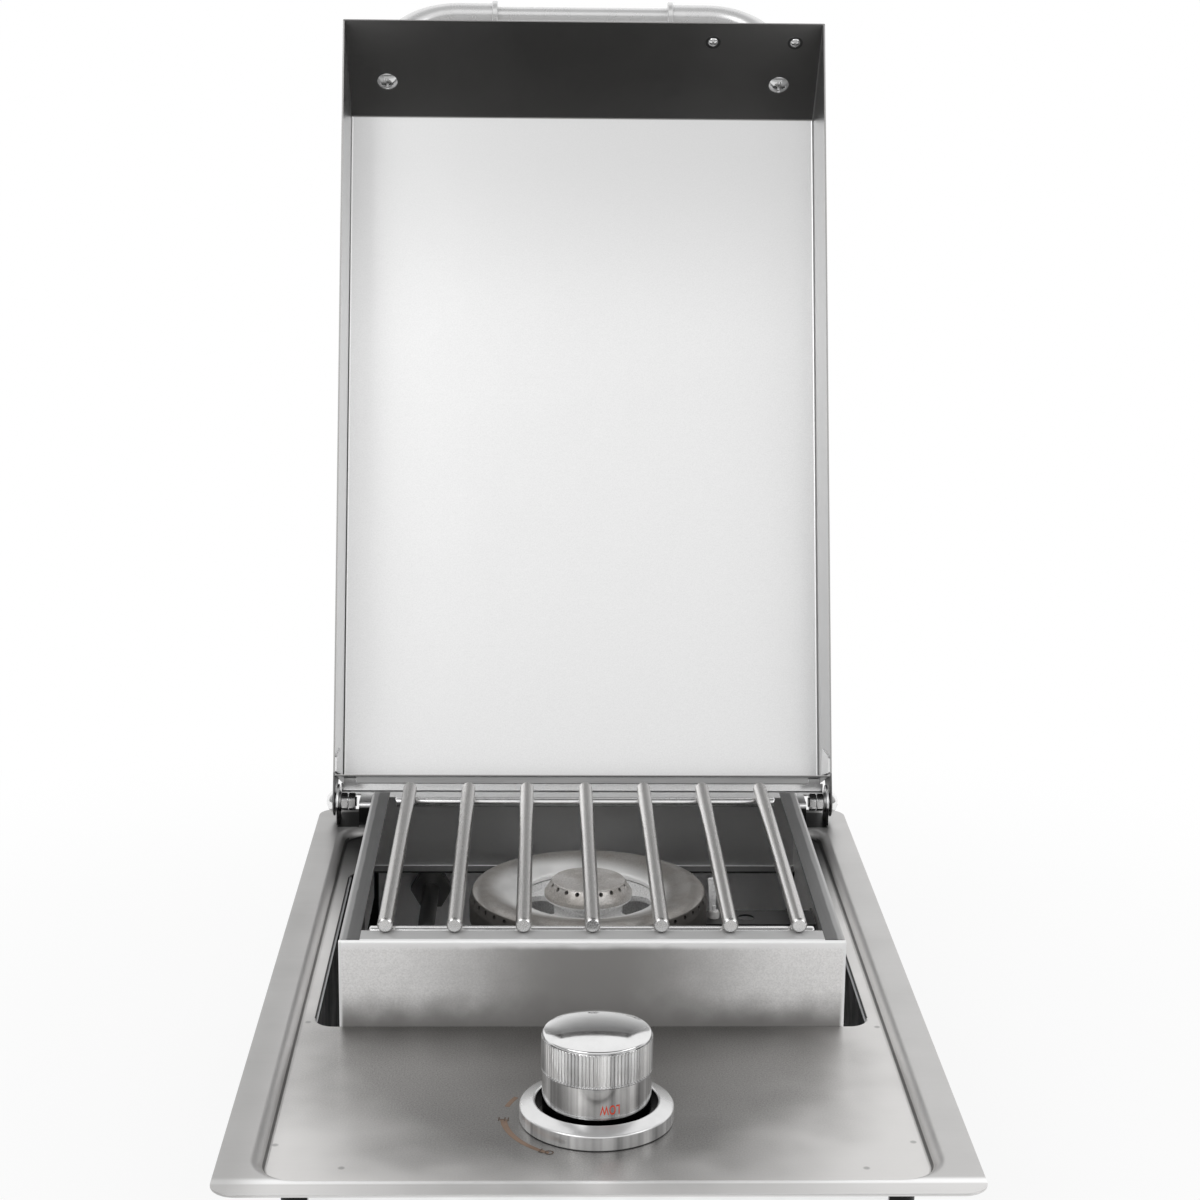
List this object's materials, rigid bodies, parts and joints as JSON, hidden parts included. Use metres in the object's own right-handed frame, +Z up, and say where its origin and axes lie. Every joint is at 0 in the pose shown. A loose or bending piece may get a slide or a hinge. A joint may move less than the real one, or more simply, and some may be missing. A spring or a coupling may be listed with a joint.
{
  "type": "built in side burner",
  "caption": "Drop-in outdoor gas side burner: pressed stainless tray, raised burner box with round burner and rod grate, control knob, and a hinged lid with a tube handle.",
  "frame": {"origin": "underside of the tray's flange, in the middle of its front strip, 6 mm behind its front edge", "axes": "+X to the right of a person standing in front, +Y to the back, +Z up"},
  "size_m": [0.337, 0.7688, 0.6225],
  "materials": {
    "stainless": "brushed stainless steel",
    "dark_stainless": "stainless steel, rear side mill finish",
    "zinc_steel": "galvanised sheet steel",
    "fasteners": "bright zinc plated steel",
    "bars": "bright drawn stainless rod",
    "burner_brass": "heat-dulled cast burner metal",
    "burner_cast": "cast aluminium",
    "chrome": "polished chrome",
    "brass": "turned brass",
    "ceramic": "white glazed ceramic",
    "black_plastic": "black moulded plastic",
    "lead_rubber": "silicone sleeve",
    "pipe": "drawn tube"
  },
  "bodies": {
    "base": {"tray": "stainless", "box_front_wall": "stainless", "box_rear_wall": "stainless", "box_left_wall": "stainless", "box_right_wall": "stainless", "lower_housing": "zinc_steel", "hinge_bracket": "stainless", "hinge_bolts": "fasteners", "hinge_washers": "fasteners", "hinge_nuts": "fasteners", "hinge_lock_nuts": "fasteners", "burner_bowl": "burner_cast", "burner_strap": "zinc_steel", "burner_screws": "fasteners", "mixing_tube": "pipe", "valve_body": "brass", "gas_orifice": "brass", "valve_screws": "fasteners", "gas_pipe": "pipe", "gas_inlet_fitting": "brass", "spark_electrode": "fasteners", "electrode_insulator": "ceramic", "electrode_bracket": "zinc_steel", "spark_igniter": "black_plastic", "spark_lead": "lead_rubber", "bezel": "chrome"},
    "lid": {"lid_shell": "dark_stainless", "lid_corner_tabs": "dark_stainless", "handle_ends": "chrome", "handle_grip": "chrome", "handle_collars": "chrome", "handle_washers": "chrome", "handle_screws": "fasteners", "front_screws": "fasteners"},
    "grate": {"grate_bars": "bars", "grate_cross_rods": "bars"},
    "ring": {"burner_ring": "burner_brass"},
    "cap": {"burner_cap": "burner_cast"},
    "plug": {"valve_plug": "brass"},
    "knob": {"knob": "chrome", "valve_stem": "fasteners", "return_spring": "fasteners"}
  },
  "joints": [
    {"name": "lid_hinge", "type": "hinge", "parent": "base", "child": "lid", "pos_m": [0, 0.505, 0.0132], "axis": [1, 0, 0], "range_deg": [0, 109.3]},
    {"name": "grate_lift", "type": "slide", "parent": "base", "child": "grate", "axis": [0, 0, 1], "range_m": [0, 0.06]},
    {"name": "ring_lift", "type": "slide", "parent": "base", "child": "ring", "axis": [0, 0, 1], "range_m": [0, 0.01]},
    {"name": "cap_lift", "type": "slide", "parent": "base", "child": "cap", "axis": [0, 0, 1], "range_m": [0, 0.008]},
    {"name": "knob_turn", "type": "hinge", "parent": "base", "child": "plug", "pos_m": [0, 0.0809, 0], "axis": [0, 0, 1], "range_deg": [0, 150]},
    {"name": "knob_push", "type": "slide", "parent": "plug", "child": "knob", "axis": [0, 0, -1], "range_m": [0, 0.004], "stiffness_N_per_m": 1500, "springref_m": -0.002, "deforming": ["return_spring"]}
  ]
}
